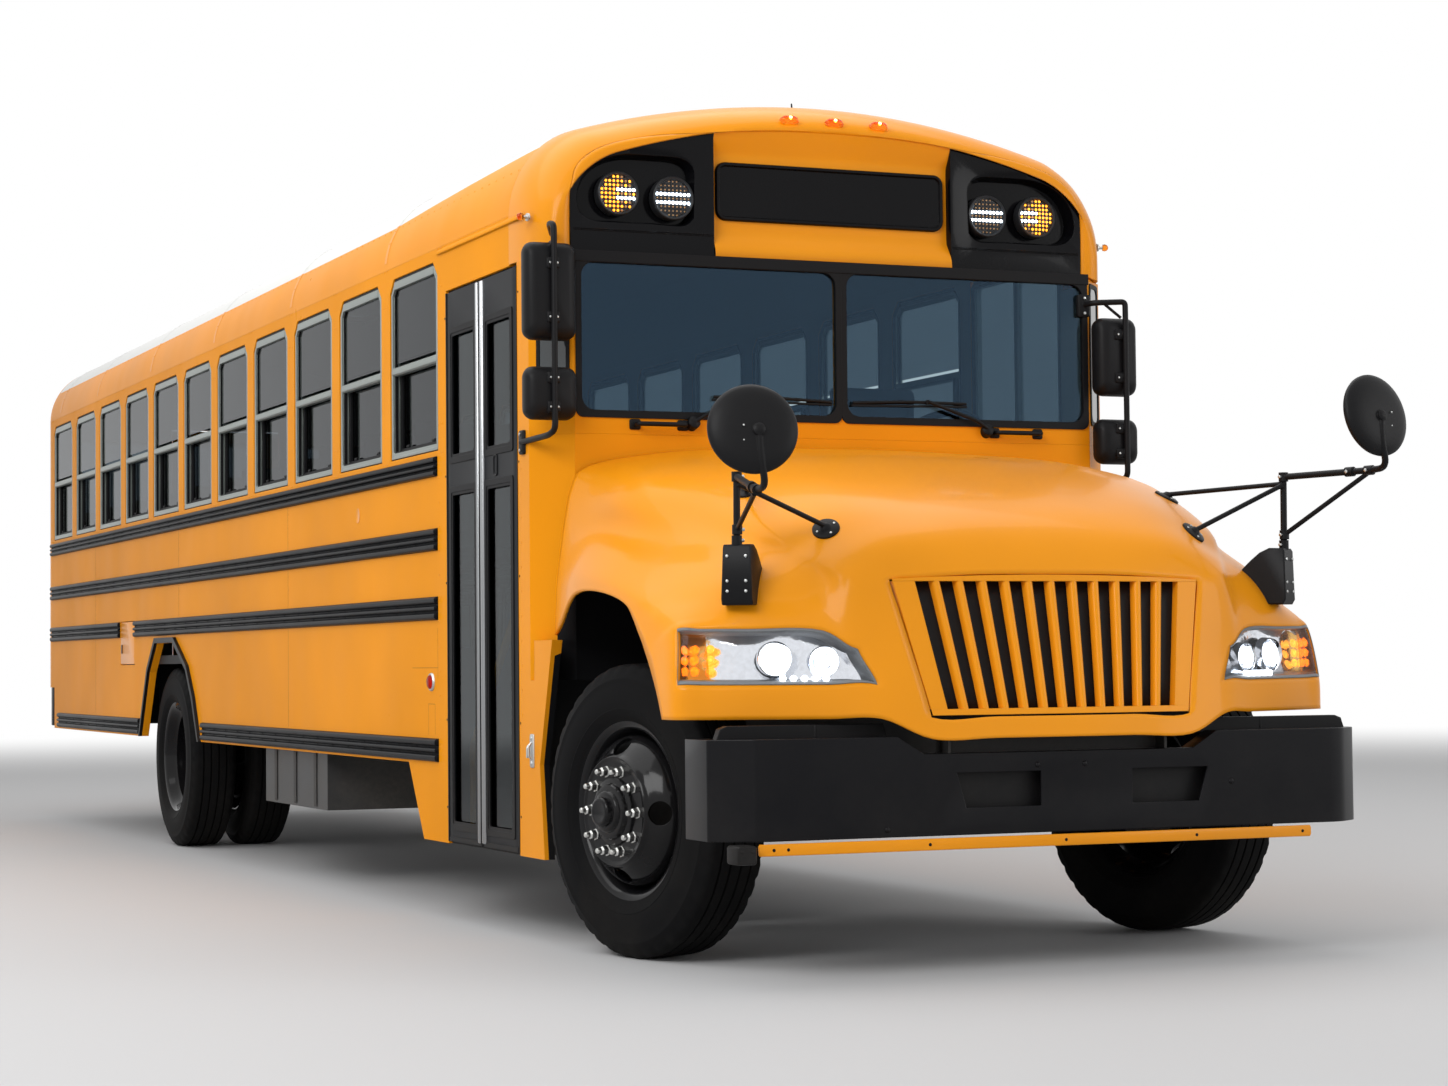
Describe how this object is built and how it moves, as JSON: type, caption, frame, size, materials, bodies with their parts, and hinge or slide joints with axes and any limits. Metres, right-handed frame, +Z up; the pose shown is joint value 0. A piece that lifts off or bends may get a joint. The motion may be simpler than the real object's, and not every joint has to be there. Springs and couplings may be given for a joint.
{
  "type": "school bus",
  "caption": "Hooded school bus: yellow hollow body with seats inside, turning and steering wheels, tilting hood, opening doors, roof hatches, stop arm and crossing arm.",
  "frame": {"origin": "on the road under the middle of the whole bus, mirrors and bumpers included", "axes": "+Z up, -Y the way the bus drives, +X its left, the driver's side"},
  "size_m": [2.62, 12.1578, 3.2508],
  "materials": {
    "body_yellow": "gloss school-bus yellow paint",
    "roof_white": "white roof paint with yellow edges",
    "black_paint": "satin black paint",
    "chassis_black": "matt chassis black",
    "cast": "bare castings",
    "sash_metal": "anodised window sashes",
    "window_glass": "tinted safety glass",
    "black_plastic": "grained black plastic",
    "lamp_lens": "moulded amber, red and clear lamp lenses",
    "headlight_lens": "clear headlight lens over chrome reflectors",
    "floor_rubber": "ribbed black floor rubber over steel",
    "seat_vinyl": "padded vinyl on a steel frame",
    "driver_vinyl": "padded driver's seat",
    "tyre_rubber": "tyre rubber",
    "wheel_black": "black painted steel wheels",
    "engine_grey": "cast engine",
    "sign_red": "blank red sign",
    "tank_steel": "dark painted tank",
    "exhaust_steel": "aluminised steel"
  },
  "bodies": {
    "body": {"left_side_wall": "body_yellow", "right_side_wall": "body_yellow", "roof": "roof_white", "rear_wall": "body_yellow", "front_cap": "body_yellow", "cowl": "body_yellow", "windshield_frame": "body_yellow", "floor": "floor_rubber", "window_frames": "sash_metal", "window_glass": "window_glass", "rub_rails": "black_paint", "wheel_flares": "black_paint", "front_bumper": "black_paint", "rear_bumper": "black_paint", "frame_rails": "chassis_black", "leaf_springs": "chassis_black", "front_axle": "chassis_black", "rear_axle": "chassis_black", "driveshaft": "chassis_black", "engine_block": "engine_grey", "radiator": "chassis_black", "fuel_tank": "tank_steel", "exhaust": "exhaust_steel", "arm_actuators": "black_paint", "side_mirrors": "black_plastic", "lamps": "lamp_lens", "left_seats": "seat_vinyl", "right_seats": "seat_vinyl", "driver_seat": "driver_vinyl", "dashboard": "black_plastic", "steering_wheel": "black_plastic", "grab_rails": "body_yellow"},
    "hood": {"hood": "body_yellow", "grille": "body_yellow", "headlights": "headlight_lens", "crossview_mirrors": "black_plastic"},
    "entry_door_front": {"entry_door_front_leaf": "body_yellow", "entry_door_front_glass": "window_glass"},
    "entry_door_rear": {"entry_door_rear_leaf": "body_yellow", "entry_door_rear_glass": "window_glass"},
    "rear_door": {"rear_door": "body_yellow", "rear_door_glass": "window_glass"},
    "fuel_door": {"fuel_door": "body_yellow"},
    "roof_hatch_front": {"roof_hatch_front": "roof_white"},
    "roof_hatch_rear": {"roof_hatch_rear": "roof_white"},
    "crossing_arm": {"crossing_arm": "body_yellow"},
    "stop_arm": {"stop_arm": "sign_red"},
    "knuckle_left": {"steering_knuckle_left": "cast"},
    "knuckle_right": {"steering_knuckle_right": "cast"},
    "front_left_wheel": {"front_left_tyre": "tyre_rubber", "front_left_wheel": "wheel_black"},
    "front_right_wheel": {"front_right_tyre": "tyre_rubber", "front_right_wheel": "wheel_black"},
    "rear_left_wheels": {"rear_left_tyres": "tyre_rubber", "rear_left_wheels": "wheel_black"},
    "rear_right_wheels": {"rear_right_tyres": "tyre_rubber", "rear_right_wheels": "wheel_black"}
  },
  "joints": [
    {"name": "steer_left", "type": "hinge", "parent": "body", "child": "knuckle_left", "pos_m": [0.9, -4.801, 0.51], "axis": [0, 0, 1], "range_deg": [-53, 27]},
    {"name": "steer_right", "type": "hinge", "parent": "body", "child": "knuckle_right", "pos_m": [-0.9, -4.801, 0.51], "axis": [0, 0, 1], "range_deg": [-53, 27]},
    {"name": "front_left_wheel_turn", "type": "hinge", "parent": "knuckle_left", "child": "front_left_wheel", "pos_m": [0.9, -4.801, 0.51], "axis": [0.9744, 0.225, 0], "continuous": true},
    {"name": "front_right_wheel_turn", "type": "hinge", "parent": "knuckle_right", "child": "front_right_wheel", "pos_m": [-0.9, -4.801, 0.51], "axis": [0.9744, 0.225, 0], "continuous": true},
    {"name": "rear_left_wheels_turn", "type": "hinge", "parent": "body", "child": "rear_left_wheels", "pos_m": [0.9, 2.329, 0.51], "axis": [1, 0, 0], "continuous": true},
    {"name": "rear_right_wheels_turn", "type": "hinge", "parent": "body", "child": "rear_right_wheels", "pos_m": [-0.9, 2.329, 0.51], "axis": [1, 0, 0], "continuous": true},
    {"name": "hood_tilt", "type": "hinge", "parent": "body", "child": "hood", "pos_m": [0, -5.841, 0.62], "axis": [1, 0, 0], "range_deg": [0, 65]},
    {"name": "entry_door_front_swing", "type": "hinge", "parent": "body", "child": "entry_door_front", "pos_m": [-1.22, -3.931, 0.3], "axis": [0, 0, 1], "range_deg": [0, 90]},
    {"name": "entry_door_rear_swing", "type": "hinge", "parent": "body", "child": "entry_door_rear", "pos_m": [-1.22, -3.071, 0.3], "axis": [0, 0, -1], "range_deg": [0, 90]},
    {"name": "rear_door_swing", "type": "hinge", "parent": "body", "child": "rear_door", "pos_m": [-0.377, 5.969, 1.2], "axis": [0, 0, 1], "range_deg": [0, 95]},
    {"name": "fuel_door_swing", "type": "hinge", "parent": "body", "child": "fuel_door", "pos_m": [-1.22, 3.13, 1.1], "axis": [0, 0, 1], "range_deg": [0, 90]},
    {"name": "roof_hatch_front_lift", "type": "hinge", "parent": "body", "child": "roof_hatch_front", "pos_m": [0, -1.271, 3.21], "axis": [-1, 0, 0], "range_deg": [0, 70]},
    {"name": "roof_hatch_rear_lift", "type": "hinge", "parent": "body", "child": "roof_hatch_rear", "pos_m": [0, 3.329, 3.21], "axis": [-1, 0, 0], "range_deg": [0, 70]},
    {"name": "crossing_arm_swing", "type": "hinge", "parent": "body", "child": "crossing_arm", "pos_m": [-1.105, -5.891, 0.43], "axis": [0, 0, -1], "range_deg": [0, 90]},
    {"name": "stop_arm_swing", "type": "hinge", "parent": "body", "child": "stop_arm", "pos_m": [1.246, -2.916, 1.64], "axis": [0, 0, -1], "range_deg": [0, 90]}
  ],
  "couplings": [
    {"joint": "steer_right", "follows": "steer_left", "ratio": 1},
    {"joint": "entry_door_rear_swing", "follows": "entry_door_front_swing", "ratio": 1}
  ]
}
